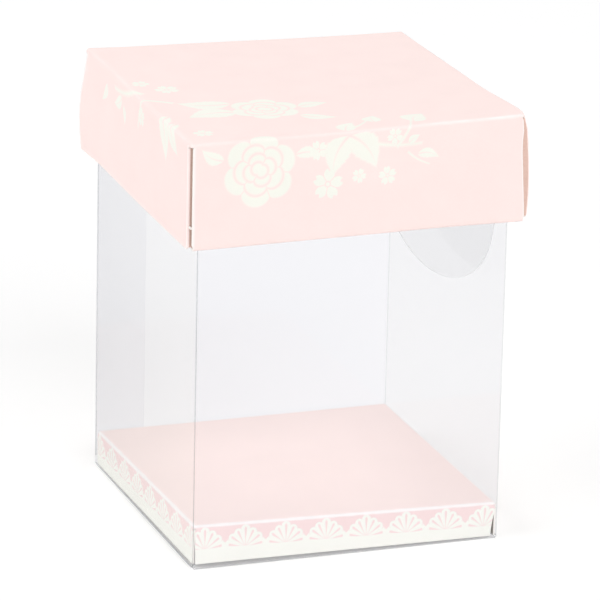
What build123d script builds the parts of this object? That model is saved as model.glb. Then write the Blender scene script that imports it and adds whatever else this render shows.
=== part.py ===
from build123d import *

import os
from math import atan, cos, degrees, radians, sin, tan

# A favor box of three folded blanks: a clear film box, a card base insert that stands inside it and
# a card lid that lifts off. Millimetres, +Z up, +Y to the back, origin at the middle of the underside.
# Each panel between two folds is a piece of its own.

# Clear film box
box_width = 80.0  # outside, along X
box_depth = 80.0  # outside, along Y
wall_height = 108.6  # top edge of the walls above the table
film = 0.2  # film thickness
film_fold = 0.5  # inside radius of a fold in the film
fold_play = 0.05  # free play at a fold that swings
glue_flap_width = 13.2  # lap of the side seam, inside the back wall
glue_flap_setback = 2.0  # shortening of the lap at its top and bottom
seam_setback = 0.2  # free edge of the back wall from the corner

# Rounded top flaps of the side walls
flap_straight = 28.6  # straight side, from the fold
flap_round = 20.5  # length of the rounded end
flap_side_gap = 0.6  # from the side of a flap to the fold of the next wall
right_flap_lean = 6.2  # degrees that the right flap stands off its wall
left_flap_lean = 90.0  # degrees that the left flap stands off its wall; it lies level under the lid

# Bottom closure
panel_inset = 0.5  # bottom panel back from the outside of the side walls
tuck_height = 6.0
tuck_play = 0.1  # tuck flap to the lap in front of it
tuck_spare_lean = 1.0  # degrees beyond what the flap needs to swing past the wall
tuck_side_inset = 3.0
tuck_corner = 3.0  # corner radius
dust_length = 28.0
dust_setback = 0.4  # from the ends of a dust flap to what is beside it
dust_taper = 10.0  # degrees, on the side away from the bottom panel's fold
dust_corner = 4.0  # corner radius

# Card, lid and base insert
card = 0.45  # card thickness
card_fold = 0.35  # inside radius of a fold in the card
ply_play = 0.1  # air between the plies of a double wall
lid_play = 1.2  # from the film to the inner wall of the lid
lid_height = 26.4
lid_end = 0.55  # end of a front or back wall from the corner
lid_inner_end = 0.4  # end of an inner wall from the side wall
lid_inner_top = 0.3  # top of an inner wall below the top panel
tab_length = 18.0
tab_edge = 1.0  # top and bottom of a tab from the folds
tab_taper = 4.0  # drop of a tab's free end at the top and at the bottom
nick_height = 5.3  # uncut nick above the rim
nick_top = 3.0  # second nick below the top
nick = 0.4  # height of a nick
skirt_height = 8.7  # base insert, from its rim to the top of its floor
skirt_taper = 6.0  # degrees at each end of a skirt
skirt_end = 0.4  # end of a front or back skirt from the corner
base_play = 0.15  # base insert to what stands beside it
base_stand = 0.05  # base insert to the dust flaps below it

# Derived
SIDES = ("front", "right", "back", "left")
UP = Vector(0, 0, 1)
film_bend = film_fold + film
card_bend = card_fold + card
panel_top = film
dust_bottom = panel_top + fold_play
dust_top = dust_bottom + film
base_rim = dust_top + base_stand
base_top = base_rim + skirt_height
lid_top = wall_height + card
lid_rim = lid_top - lid_height
double_wall = 3 * card + 2 * ply_play
rim_bend = double_wall / 2
lid_x = box_width / 2 + lid_play + double_wall
lid_y = box_depth / 2 + lid_play + double_wall
side_wall_end = card + ply_play + card_bend
tuck_lean = degrees(atan(tuck_height / (2 * (box_depth - 2 * film)))) + tuck_spare_lean
tuck_face = box_depth / 2 - 2 * film - tuck_play
tuck_reach = film + tuck_height * tan(radians(tuck_lean))
base_x = box_width / 2 - film - base_play
base_front = box_depth / 2 - film - base_play
base_back = tuck_face - tuck_reach - base_play
base_y = (base_front + base_back) / 2
base_shift = (base_back - base_front) / 2
flap_length = flap_straight + flap_round
flap_half = box_depth / 2 - film_bend - flap_side_gap
flap_axis_in = film + fold_play + film / 2
left_flap_z = wall_height - fold_play - film / 2
right_flap_z = left_flap_z - 2 * film

# Half length of each side and its distance from the middle, in the order of SIDES
half_lengths = (box_width / 2, box_depth / 2, box_width / 2, box_depth / 2)
distances = (box_depth / 2, box_width / 2, box_depth / 2, box_width / 2)
wall_bottoms = (panel_top + fold_play, dust_top + fold_play, 0.0, dust_top + fold_play)

os.makedirs("parts", exist_ok=True)


def write(builder, name):
    """Labels a finished piece and writes its STEP file.

    Args:
        builder: the BuildPart of the piece.
        name: name of the piece.
    """
    builder.part.label = name
    export_step(builder.part, f"parts/{name}.step")


def outward(side):
    """Gives the direction in which a side faces.

    Args:
        side: index in SIDES.

    Returns:
        Vector: unit vector, level.
    """
    return Vector(0, -1, 0).rotate(Axis.Z, 90 * side)


def along(side):
    """Gives the direction in which a side runs, anticlockwise seen from above.

    Args:
        side: index in SIDES.

    Returns:
        Vector: unit vector, level.
    """
    return Vector(1, 0, 0).rotate(Axis.Z, 90 * side)


def plan(side, height):
    """Gives the level plane of a side: local x runs along it and local y points inward.

    Args:
        side: index in SIDES.
        height: height of the plane.

    Returns:
        Plane: the plane.
    """
    return Plane(origin=(0, 0, height), x_dir=along(side), z_dir=UP)


def section(side, shift=0.0):
    """Gives the upright plane across a side: local x points outward and local y up.

    Args:
        side: index in SIDES.
        shift: distance of its middle from the middle of the box, along Y.

    Returns:
        Plane: the plane.
    """
    return Plane(origin=(0, shift, 0), x_dir=outward(side), z_dir=outward(side).cross(UP))


def film_wall(start, half_length, distance):
    """Draws the plan of a film wall that ends in a quarter fold.

    Args:
        start: local x where the wall starts.
        half_length: local x of the corner where it ends.
        distance: distance of its outer face from the middle.

    Returns:
        Sketch: the closed outline.
    """
    end = half_length - film_bend
    centre = (end, film_bend - distance)
    with BuildSketch() as outline:
        with BuildLine():
            Line((start, -distance), (end, -distance))
            CenterArc(centre, film_bend, -90, 90)
            Line((half_length, film_bend - distance), (half_length - film, film_bend - distance))
            CenterArc(centre, film_fold, 0, -90)
            Line((end, film - distance), (start, film - distance))
            Line((start, film - distance), (start, -distance))
        make_face()
    return outline.sketch


def card_wall(face, top, bottom):
    """Draws the section of a card wall that hangs from a panel by a quarter fold.

    Args:
        face: distance of its outer face from the middle.
        top: top of the panel.
        bottom: lower end of the wall.

    Returns:
        Sketch: the closed outline.
    """
    centre = (face - card_bend, top - card_bend)
    with BuildSketch() as outline:
        with BuildLine():
            Line((face, bottom), (face, top - card_bend))
            CenterArc(centre, card_bend, 0, 90)
            Line((face - card_bend, top), (face - card_bend, top - card))
            CenterArc(centre, card_fold, 90, -90)
            Line((face - card, top - card_bend), (face - card, bottom))
            Line((face - card, bottom), (face, bottom))
        make_face()
    return outline.sketch


# Clear walls. The front, right and left wall each end in the fold of the corner after it.
for side, name in enumerate(SIDES):
    half = half_lengths[side]
    gap = distances[side]
    tall = wall_height - wall_bottoms[side]
    if name == "right":
        tall = tall - 2 * film
    with BuildPart() as clear_wall:
        with BuildSketch(plan(side, wall_bottoms[side])):
            if name == "back":
                lap_start = film_bend - half
                lap_end = half - seam_setback
                with Locations(((lap_start + lap_end) / 2, film / 2 - gap)):
                    Rectangle(lap_end - lap_start, film)
            elif name == "left":
                add(film_wall(film_bend + film - half, half, gap))
            else:
                add(film_wall(film_bend - half, half, gap))
        extrude(amount=tall)
    write(clear_wall, f"clear_{name}_wall")

# Glue flap: lapped inside the left end of the back wall, with the fold of that corner.
with BuildPart() as clear_glue_flap:
    with BuildSketch(plan(SIDES.index("back"), dust_top + glue_flap_setback)):
        add(film_wall(box_width / 2 - glue_flap_width, box_width / 2, box_depth / 2 - film))
    extrude(amount=wall_height - 2 * glue_flap_setback - dust_top)
write(clear_glue_flap, "clear_glue_flap")

# Rounded top flaps: the right one hangs inside its wall, the left one lies level above it.
for name, fold_z, stand_off in (
    ("right", right_flap_z, right_flap_lean),
    ("left", left_flap_z, left_flap_lean),
):
    side = SIDES.index(name)
    stand_off = radians(stand_off)
    fold_at = outward(side) * (box_width / 2 - flap_axis_in) + UP * fold_z
    tilt = outward(side) * cos(stand_off) - UP * sin(stand_off)
    with BuildPart() as clear_top_flap:
        with BuildSketch(Plane(origin=fold_at, x_dir=along(side), z_dir=tilt)):
            with BuildLine():
                Line((-flap_half, 0), (flap_half, 0))
                Line((flap_half, 0), (flap_half, -flap_straight))
                EllipticalCenterArc((0, -flap_straight), flap_half, flap_round, 180, arc_size=180)
                Line((-flap_half, -flap_straight), (-flap_half, 0))
            make_face()
        extrude(amount=film / 2, both=True)
        with Locations(Location(fold_at)):
            Cylinder(film / 2, 2 * flap_half, rotation=(90, 0, 0))
    write(clear_top_flap, f"clear_{name}_top_flap")

# Bottom panel, folded from the front wall, and its tuck flap inside the back wall.
tuck_start = tuck_face - film_bend
with BuildPart() as bottom_panel:
    with BuildSketch(Plane.XY):
        with Locations((0, (tuck_start - box_depth / 2) / 2)):
            Rectangle(box_width - 2 * panel_inset, tuck_start + box_depth / 2)
    extrude(amount=film)
write(bottom_panel, "bottom_panel")

lean = radians(tuck_lean)
tuck_end = Vector(tuck_start + film_bend * cos(lean), film_bend + film_bend * sin(lean))
tuck_up = Vector(-sin(lean), cos(lean)) * (tuck_height - film_bend)
tuck_in = Vector(cos(lean), sin(lean)) * film
with BuildPart() as bottom_tuck_flap:
    with BuildSketch(section(SIDES.index("back"))):
        with BuildLine():
            CenterArc((tuck_start, film_bend), film_bend, -90, 90 + tuck_lean)
            Line(tuck_end, tuck_end + tuck_up)
            Line(tuck_end + tuck_up, tuck_end + tuck_up - tuck_in)
            Line(tuck_end + tuck_up - tuck_in, tuck_end - tuck_in)
            CenterArc((tuck_start, film_bend), film_fold, tuck_lean, -90 - tuck_lean)
            Line((tuck_start, film), (tuck_start, 0))
        make_face()
    extrude(amount=box_width / 2 - film - tuck_side_inset, both=True)
    upper = bottom_tuck_flap.faces().sort_by(Axis.Z)[-1]
    fillet(upper.edges().group_by(SortBy.LENGTH)[0], tuck_corner)
write(bottom_tuck_flap, "bottom_tuck_flap")

# Bottom dust flaps of the side walls, mitred towards the fold of the bottom panel.
mitre_start = -box_depth / 2 + film_bend + dust_setback
dust_end = tuck_start - dust_setback
for name in ("left", "right"):
    side = SIDES.index(name)
    hand = 1 if name == "right" else -1
    with BuildPart() as bottom_dust_flap:
        with BuildSketch(plan(side, dust_bottom)) as dust_outline:
            with BuildLine():
                Polyline(
                    (hand * mitre_start, -box_width / 2),
                    (hand * dust_end, -box_width / 2),
                    (hand * (dust_end - dust_length * tan(radians(dust_taper))), dust_length - box_width / 2),
                    (hand * (mitre_start + dust_length), dust_length - box_width / 2),
                    close=True,
                )
            make_face()
            fillet(dust_outline.vertices().group_by(Axis.Y)[-1], dust_corner)
        extrude(amount=film)
    write(bottom_dust_flap, f"bottom_{name}_dust_flap")

# Base insert: a floor with four skirts folded down.
with BuildPart() as base_floor:
    with BuildSketch(Plane.XY.offset(base_top - card)):
        with Locations((0, base_shift)):
            Rectangle(2 * (base_x - card_bend), 2 * (base_y - card_bend))
    extrude(amount=card)
write(base_floor, "base_floor")

for side, name in enumerate(SIDES):
    level = name in ("front", "back")
    face = base_y if level else base_x
    half = base_x - skirt_end if level else base_y - card_bend - skirt_end
    with BuildPart() as base_skirt:
        with BuildSketch(section(side, base_shift)):
            add(card_wall(face, base_top, base_rim))
        extrude(amount=half, both=True)
        for hand in (-1, 1):
            end = along(side) * (hand * half) + Vector(0, base_shift, base_top - card_bend)
            facing = along(side) * (hand * cos(radians(skirt_taper)))
            trim = Plane(origin=end, z_dir=facing - UP * sin(radians(skirt_taper)))
            split(bisect_by=trim, keep=Keep.BOTTOM)
    write(base_skirt, f"base_{name}_skirt")

# Lid: top panel and four walls; the front and back wall roll over into an inner wall.
with BuildPart() as lid_top_panel:
    with BuildSketch(Plane.XY.offset(wall_height)):
        Rectangle(2 * (lid_x - card_bend), 2 * (lid_y - card_bend))
    extrude(amount=card)
write(lid_top_panel, "lid_top_panel")

for side, name in enumerate(SIDES):
    double = name in ("front", "back")
    with BuildPart() as lid_wall:
        with BuildSketch(section(side)):
            if double:
                add(card_wall(lid_y, lid_top, lid_rim + rim_bend))
            else:
                add(card_wall(lid_x, lid_top, lid_rim))
        extrude(amount=lid_x - lid_end if double else lid_y - side_wall_end, both=True)
    write(lid_wall, f"lid_{name}_wall")

rim_centre = (lid_y - rim_bend, lid_rim + rim_bend)
inner_face = lid_y - double_wall
inner_top = wall_height - lid_inner_top
for name in ("front", "back"):
    with BuildPart() as lid_inner_wall:
        with BuildSketch(section(SIDES.index(name))):
            with BuildLine():
                CenterArc(rim_centre, rim_bend, 0, -180)
                Line((inner_face, rim_centre[1]), (inner_face, inner_top))
                Line((inner_face, inner_top), (inner_face + card, inner_top))
                Line((inner_face + card, inner_top), (inner_face + card, rim_centre[1]))
                CenterArc(rim_centre, rim_bend - card, 180, 180)
                Line((lid_y - card, rim_centre[1]), (lid_y, rim_centre[1]))
            make_face()
        extrude(amount=lid_x - card - lid_inner_end, both=True)
    write(lid_inner_wall, f"lid_{name}_inner_wall")

# Corner tabs of the side walls, inside the double walls, held to them by uncut nicks.
tab_start = card_bend - lid_x
tab_low = lid_rim + rim_bend + tab_edge
tab_high = lid_top - card_bend - tab_edge
tab_outer = card + ply_play - lid_y
nick_centre = (tab_start, side_wall_end - lid_y)
for name, hand_x, hand_y in (
    ("front_left", 1, 1),
    ("front_right", -1, 1),
    ("back_left", 1, -1),
    ("back_right", -1, -1),
):
    with BuildPart() as corner_tab:
        with BuildSketch(Plane(origin=(0, tab_outer, 0), x_dir=(1, 0, 0), z_dir=(0, -1, 0))):
            with BuildLine():
                Polyline(
                    (tab_start, tab_low),
                    (tab_start + tab_length, tab_low + tab_taper),
                    (tab_start + tab_length, tab_high - tab_taper),
                    (tab_start, tab_high),
                    close=True,
                )
            make_face()
        extrude(amount=-card)
        for level in (lid_rim + nick_height, lid_top - nick_top):
            with BuildSketch(Plane.XY.offset(level - nick / 2)):
                with BuildLine():
                    CenterArc(nick_centre, card_bend, 180, 90)
                    Line((tab_start, tab_outer), (tab_start, tab_outer + card))
                    CenterArc(nick_centre, card_fold, 270, -90)
                    Line((card - lid_x, nick_centre[1]), (-lid_x, nick_centre[1]))
                make_face()
            extrude(amount=nick)
        if hand_x < 0:
            mirror(about=Plane.YZ, mode=Mode.REPLACE)
        if hand_y < 0:
            mirror(about=Plane.XZ, mode=Mode.REPLACE)
    write(corner_tab, f"lid_{name}_tab")
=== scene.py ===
"""Looks for a clear favor box: film walls, a printed card lid and a lace-edged card base insert.

Every size below is in millimetres and is turned to metres where a mesh is made. The frame is the
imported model's: the middle of the underside is the origin, +Z is up and +Y goes to the back.
"""

from __future__ import annotations

import logging
import math
from dataclasses import dataclass
from enum import Enum
from typing import Any, Callable

import bmesh
import bpy
from mathutils import Matrix, Vector

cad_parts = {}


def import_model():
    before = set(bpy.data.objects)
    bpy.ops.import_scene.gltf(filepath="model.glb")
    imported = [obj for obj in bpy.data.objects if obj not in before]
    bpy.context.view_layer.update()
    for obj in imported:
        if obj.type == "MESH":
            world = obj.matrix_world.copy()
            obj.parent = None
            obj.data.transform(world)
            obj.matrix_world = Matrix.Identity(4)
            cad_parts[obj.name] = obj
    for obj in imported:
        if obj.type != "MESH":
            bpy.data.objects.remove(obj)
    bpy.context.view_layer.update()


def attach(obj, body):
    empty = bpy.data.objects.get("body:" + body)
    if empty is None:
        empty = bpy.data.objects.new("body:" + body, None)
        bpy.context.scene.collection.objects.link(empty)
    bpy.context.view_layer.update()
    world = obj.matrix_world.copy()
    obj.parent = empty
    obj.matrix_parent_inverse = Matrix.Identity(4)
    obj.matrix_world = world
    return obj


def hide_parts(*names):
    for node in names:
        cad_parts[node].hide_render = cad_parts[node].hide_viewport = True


MM = 0.001
NEAR = 0.02 * MM
log = logging.getLogger("favor_box")


class Side(Enum):
    """The four sides of the box, each with the direction that it faces."""

    FRONT = (0, -1)
    RIGHT = (1, 0)
    BACK = (0, 1)
    LEFT = (-1, 0)

    @property
    def outward(self) -> Vector:
        """The direction that the side faces."""
        return Vector((*self.value, 0))

    @property
    def axis(self) -> Vector:
        """The line that a fold of this side runs along; turning about it folds the card down."""
        return self.outward.cross(Vector((0, 0, 1)))


class Pick(Enum):
    """What a selection in edit mode is made of."""

    VERT = "verts"
    EDGE = "edges"


class Ease(Enum):
    """How a move of the card dies away with distance."""

    SMOOTH = "SMOOTH"
    EVEN = "LINEAR"


class Motif(Enum):
    """The drawn forms of the floral print."""

    ROSE = "rose"
    BLOSSOM = "blossom"
    LEAF = "leaf"
    STEM = "stem"


def linear(code: str) -> tuple[float, float, float, float]:
    """Turns an sRGB hex colour into linear RGBA.

    Args:
        code: six hex digits.

    Returns:
        The colour that a shader socket takes.
    """
    parts = [int(code[i : i + 2], 16) / 255 for i in (0, 2, 4)]
    red, green, blue = (c / 12.92 if c <= 0.04045 else ((c + 0.055) / 1.055) ** 2.4 for c in parts)
    return red, green, blue, 1.0


def wire(
    tree: bpy.types.NodeTree, kind: str, feeds: dict, out: Any = 0, **settings: Any
) -> bpy.types.NodeSocket:
    """Adds one shader node, sets it, feeds its inputs and gives one of its outputs.

    Args:
        tree: the node tree.
        kind: the node's type without its ShaderNode prefix.
        feeds: input name or number to a socket or a plain value.
        out: name or number of the output.
        **settings: properties of the node.

    Returns:
        The output socket.
    """
    node = tree.nodes.new("ShaderNode" + kind)
    for name, value in settings.items():
        setattr(node, name, value)
    for name, value in feeds.items():
        if isinstance(value, bpy.types.NodeSocket):
            tree.links.new(value, node.inputs[name])
        else:
            node.inputs[name].default_value = value
    return node.outputs[out]


def new_material(name: str) -> tuple[bpy.types.Material, bpy.types.NodeTree]:
    """Starts a node material with an empty tree.

    Args:
        name: the finish's name.

    Returns:
        The material and its tree.
    """
    material = bpy.data.materials.new(name)
    material.use_nodes = True
    material.node_tree.nodes.clear()
    return material, material.node_tree


def printed_paper(
    tree: bpy.types.NodeTree, body: Any, inked: Any, grain: float, cloud: float
) -> bpy.types.NodeSocket:
    """Gives a printed colour the fibres, faint clouds and matt coat of offset boxboard.

    Args:
        tree: the material's tree.
        body: the place on the piece.
        inked: the printed colour.
        grain: length of the fibres in millimetres, drawn a little coarse so that they show.
        cloud: width of the faint clouds in millimetres.

    Returns:
        The surface's socket.
    """
    clouds = wire(tree, "TexNoise", {"Vector": body, "Scale": 1 / (cloud * MM), "Detail": 4.0})
    fibre = wire(tree, "TexNoise", {"Vector": body, "Scale": 1 / (grain * MM), "Detail": 5.0})
    tone = wire(tree, "Math", {0: clouds, 1: 0.5, 2: 0.0}, operation="MULTIPLY_ADD")
    tone = wire(tree, "Math", {0: fibre, 1: 0.5, 2: tone}, operation="MULTIPLY_ADD")
    tone = wire(tree, "MapRange", {0: tone, 1: 0.3, 2: 0.7, 3: 0.975, 4: 1.02})
    colour = wire(tree, "VectorMath", {0: inked, "Scale": tone}, operation="SCALE")
    bump = wire(tree, "Bump", {"Strength": 0.25, "Distance": 0.02 * MM, "Height": fibre})
    rough = wire(tree, "MapRange", {0: fibre, 3: 0.58, 4: 0.72})
    coat = {"Base Color": colour, "Roughness": rough, "Specular IOR Level": 0.3, "Normal": bump}
    return wire(tree, "BsdfPrincipled", coat)


def select(piece: bpy.types.Object, pick: Pick, test: Callable[[Vector], bool]) -> int:
    """Selects, in edit mode, the points or edges whose points all pass a test of place.

    Args:
        piece: the object in edit mode.
        pick: points or edges.
        test: takes a point's place in metres.

    Returns:
        How many were selected.
    """
    bpy.ops.mesh.select_mode(type=pick.name)
    bpy.ops.mesh.select_all(action="DESELECT")
    sheet = bmesh.from_edit_mesh(piece.data)
    found = 0
    for item in getattr(sheet, pick.value):
        corners = [item] if pick is Pick.VERT else item.verts
        if all(test(corner.co) for corner in corners):
            item.select_set(True)
            found += 1
    sheet.select_flush_mode()
    bmesh.update_edit_mesh(piece.data)
    return found


@dataclass(frozen=True)
class Placed:
    """One form of the print: where it starts on the flat blank, how long it is and how it turns."""

    motif: Motif
    u: float
    v: float
    size: float
    turn: float
    bend: float = 0.0
    width: float = 0.3


# A spray of roses, leaves and small blossoms along the front fold, on the flat blank: a common kind of
# floral ornament, drawn from plain forms of its own.
SPRAY = (
    Placed(Motif.ROSE, -16.0, -18.5, 8.6, 20),
    Placed(Motif.ROSE, -25.5, -50.0, 9.2, 205),
    Placed(Motif.LEAF, -22.5, -12.0, 13.5, 164, 0.5, 0.30),
    Placed(Motif.LEAF, -23.5, -19.5, 13.0, 188, -0.5, 0.34),
    Placed(Motif.LEAF, -7.5, -19.0, 8.5, 12, 0.4, 0.30),
    Placed(Motif.LEAF, -9.5, -25.5, 9.5, -28, -0.4, 0.26),
    Placed(Motif.LEAF, -40.5, -19.0, 12.5, 202, 0.4, 0.30),
    Placed(Motif.LEAF, -40.5, -25.5, 10.5, 224, -0.4, 0.26),
    Placed(Motif.LEAF, -2.5, -43.5, 11.0, -52, 0.5, 0.36),
    Placed(Motif.LEAF, -3.0, -43.5, 10.5, -112, -0.5, 0.36),
    Placed(Motif.LEAF, -3.5, -42.0, 7.5, 58, 0.4, 0.36),
    Placed(Motif.LEAF, -34.5, -47.0, 6.5, 150, 0.5, 0.28),
    Placed(Motif.LEAF, -16.5, -47.0, 7.0, -8, 0.5, 0.24),
    Placed(Motif.LEAF, 15.2, -39.5, 7.0, 52, 0.7, 0.52),
    Placed(Motif.LEAF, 5.8, -36.8, 5.2, 74, 0.5, 0.50),
    Placed(Motif.LEAF, 15.0, -49.6, 6.0, -14, 0.5, 0.24),
    Placed(Motif.LEAF, 12.6, -46.8, 3.6, 34, 0.3, 0.30),
    Placed(Motif.LEAF, -48.0, 11.0, 5.0, 196, 0.4, 0.24),
    Placed(Motif.LEAF, -46.5, 24.0, 6.0, 150, 0.5, 0.24),
    Placed(Motif.BLOSSOM, -8.2, -55.0, 3.9, 10),
    Placed(Motif.BLOSSOM, -10.8, -46.4, 2.5, 40),
    Placed(Motif.BLOSSOM, -0.2, -53.6, 1.9, 65),
    Placed(Motif.BLOSSOM, 7.2, -54.2, 2.4, 25),
    Placed(Motif.BLOSSOM, 9.0, -44.6, 2.1, 50),
    Placed(Motif.BLOSSOM, -37.0, -34.5, 2.6, 15),
    Placed(Motif.BLOSSOM, -34.0, 3.5, 3.2, 35),
    Placed(Motif.BLOSSOM, -46.5, -4.0, 2.5, 5),
    Placed(Motif.BLOSSOM, -39.0, 9.5, 2.4, 60),
    Placed(Motif.STEM, -36.0, -8.0, 15.0, 140, 0.25, 0.030),
    Placed(Motif.STEM, -41.0, 1.0, 17.0, 122, -0.30, 0.034),
    Placed(Motif.LEAF, -46.5, 12.5, 6.5, 118, 0.5, 0.28),
    Placed(Motif.STEM, 3.0, -45.8, 13.0, -14, 0.16, 0.028),
    Placed(Motif.STEM, 9.5, -47.4, 10.0, 46, 0.25, 0.032),
    Placed(Motif.STEM, 12.5, -48.8, 6.5, -46, 0.25, 0.035),
    Placed(Motif.STEM, -3.0, -41.0, 10.5, 22, 0.35, 0.030),
)


@dataclass(frozen=True)
class FloralPrint:
    """The knocked-out floral spray: where the pink flood leaves the cream board bare."""

    soft: float = 0.03

    def form(self, motif: Motif) -> bpy.types.NodeTree:
        """Draws one form in a unit frame as a node group.

        Args:
            motif: which form.

        Returns:
            The group, with inputs Place, Bend and Width and the output Mask.
        """
        tree = bpy.data.node_groups.new("print_" + motif.value, "ShaderNodeTree")
        tree.interface.new_socket("Place", in_out="INPUT", socket_type="NodeSocketVector")
        tree.interface.new_socket("Bend", in_out="INPUT", socket_type="NodeSocketFloat")
        tree.interface.new_socket("Width", in_out="INPUT", socket_type="NodeSocketFloat")
        tree.interface.new_socket("Mask", in_out="OUTPUT", socket_type="NodeSocketFloat")
        start = tree.nodes.new("NodeGroupInput")
        place, bend, width = start.outputs[0], start.outputs[1], start.outputs[2]
        draw = {
            Motif.ROSE: self.rose,
            Motif.BLOSSOM: self.blossom,
            Motif.LEAF: self.leaf,
            Motif.STEM: self.stem,
        }[motif]
        inside = draw(tree, place, bend, width)
        mask = wire(tree, "MapRange", {0: inside, 1: -self.soft, 2: self.soft, 3: 0.0, 4: 1.0})
        end = tree.nodes.new("NodeGroupOutput")
        tree.links.new(mask, end.inputs[0])
        return tree

    def polar(self, tree: bpy.types.NodeTree, place: bpy.types.NodeSocket) -> tuple[Any, Any]:
        """Turns a place into its distance and angle from the middle.

        Args:
            tree: the group's tree.
            place: the unit place.

        Returns:
            The sockets of the distance and of the angle.
        """
        reach = wire(tree, "VectorMath", {0: place}, out="Value", operation="LENGTH")
        across = wire(tree, "SeparateXYZ", {0: place}, out=0)
        upward = wire(tree, "SeparateXYZ", {0: place}, out=1)
        angle = wire(tree, "Math", {0: upward, 1: across}, operation="ARCTAN2")
        return reach, angle

    def petals(self, tree: bpy.types.NodeTree, angle: Any, count: int, turn: float) -> Any:
        """Gives a wave round the middle: 1 along each petal's middle, 0 between two petals.

        Args:
            tree: the group's tree.
            angle: the angle's socket.
            count: number of petals.
            turn: phase in radians.

        Returns:
            The wave's socket.
        """
        phase = wire(tree, "Math", {0: angle, 1: count / 2, 2: turn}, operation="MULTIPLY_ADD")
        wave = wire(tree, "Math", {0: phase}, operation="COSINE")
        return wire(tree, "Math", {0: wave}, operation="ABSOLUTE")

    def blossom(self, tree: bpy.types.NodeTree, place: Any, bend: Any, width: Any) -> Any:
        """Draws five notched petals round a small ring.

        Args:
            tree: the group's tree.
            place: the unit place.
            bend: not used by this form.
            width: not used by this form.

        Returns:
            How far inside the form a place is.
        """
        reach, angle = self.polar(tree, place)
        wave = self.petals(tree, angle, 5, 0.0)
        lobe = wire(tree, "Math", {0: wave, 1: 0.5}, operation="POWER")
        outline = wire(tree, "Math", {0: lobe, 1: 0.66, 2: 0.36}, operation="MULTIPLY_ADD")
        tip = wire(tree, "Math", {0: wave, 1: 0.93}, operation="SUBTRACT")
        notch = wire(tree, "Math", {0: tip, 1: 0.0}, operation="MAXIMUM")
        cut = wire(tree, "Math", {0: notch, 1: -2.6, 2: outline}, operation="MULTIPLY_ADD")
        edge = wire(tree, "Math", {0: cut, 1: reach}, operation="SUBTRACT")
        gap = wire(tree, "Math", {0: wave, 1: reach, 2: -0.07}, operation="MULTIPLY_ADD")
        ring = wire(tree, "Math", {0: reach, 1: 0.17}, operation="SUBTRACT")
        ring = wire(tree, "Math", {0: ring}, operation="ABSOLUTE")
        ring = wire(tree, "Math", {0: ring, 1: 0.04}, operation="SUBTRACT")
        heart = wire(tree, "Math", {0: 0.13, 1: reach}, operation="SUBTRACT")
        gap = wire(tree, "Math", {0: gap, 1: heart}, operation="MAXIMUM")
        inside = wire(tree, "Math", {0: edge, 1: gap}, operation="MINIMUM")
        return wire(tree, "Math", {0: inside, 1: ring}, operation="MINIMUM")

    def leaf(self, tree: bpy.types.NodeTree, place: Any, bend: Any, width: Any) -> Any:
        """Draws a bent, pointed leaf from its stalk to its tip, split by a fine midrib.

        Args:
            tree: the group's tree.
            place: the unit place; the leaf lies along x from 0 to 1.
            bend: sideways bow of the leaf.
            width: its half width.

        Returns:
            How far inside the form a place is.
        """
        along = wire(tree, "SeparateXYZ", {0: place}, out=0)
        aside = wire(tree, "SeparateXYZ", {0: place}, out=1)
        along = wire(tree, "Clamp", {0: along})
        rest = wire(tree, "Math", {0: 1.0, 1: along}, operation="SUBTRACT")
        bow = wire(tree, "Math", {0: along, 1: rest}, operation="MULTIPLY")
        bow = wire(tree, "Math", {0: bow, 1: bend}, operation="MULTIPLY")
        aside = wire(tree, "Math", {0: aside, 1: bow}, operation="SUBTRACT")
        aside = wire(tree, "Math", {0: aside}, operation="ABSOLUTE")
        swell = wire(tree, "Math", {0: along, 1: 0.72}, operation="POWER")
        swell = wire(tree, "Math", {0: swell, 1: math.pi}, operation="MULTIPLY")
        swell = wire(tree, "Math", {0: swell}, operation="SINE")
        teeth = wire(tree, "Math", {0: along, 1: 7.0}, operation="MULTIPLY")
        teeth = wire(tree, "Math", {0: teeth}, operation="FRACT")
        teeth = wire(tree, "Math", {0: teeth, 1: -0.10, 2: 1.0}, operation="MULTIPLY_ADD")
        swell = wire(tree, "Math", {0: swell, 1: teeth}, operation="MULTIPLY")
        swell = wire(tree, "Math", {0: swell, 1: width, 2: -0.02}, operation="MULTIPLY_ADD")
        edge = wire(tree, "Math", {0: swell, 1: aside}, operation="SUBTRACT")
        taper = wire(tree, "Math", {0: along, 1: -0.055, 2: 0.034}, operation="MULTIPLY_ADD")
        rib = wire(tree, "Math", {0: aside, 1: taper}, operation="SUBTRACT")
        return wire(tree, "Math", {0: edge, 1: rib}, operation="MINIMUM")

    def stem(self, tree: bpy.types.NodeTree, place: Any, bend: Any, width: Any) -> Any:
        """Draws a fine curved stem that thins to its end.

        Args:
            tree: the group's tree.
            place: the unit place; the stem lies along x from 0 to 1.
            bend: how far its end curls aside.
            width: its half width.

        Returns:
            How far inside the form a place is.
        """
        along = wire(tree, "SeparateXYZ", {0: place}, out=0)
        aside = wire(tree, "SeparateXYZ", {0: place}, out=1)
        curl = wire(tree, "Math", {0: along, 1: along}, operation="MULTIPLY")
        curl = wire(tree, "Math", {0: curl, 1: bend}, operation="MULTIPLY")
        aside = wire(tree, "Math", {0: aside, 1: curl}, operation="SUBTRACT")
        aside = wire(tree, "Math", {0: aside}, operation="ABSOLUTE")
        thin = wire(tree, "Math", {0: along, 1: -0.5, 2: 1.25}, operation="MULTIPLY_ADD")
        thin = wire(tree, "Math", {0: thin, 1: width}, operation="MULTIPLY")
        edge = wire(tree, "Math", {0: thin, 1: aside}, operation="SUBTRACT")
        rest = wire(tree, "Math", {0: 1.0, 1: along}, operation="SUBTRACT")
        ends = wire(tree, "Math", {0: along, 1: rest}, operation="MINIMUM")
        return wire(tree, "Math", {0: edge, 1: ends}, operation="MINIMUM")

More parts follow.
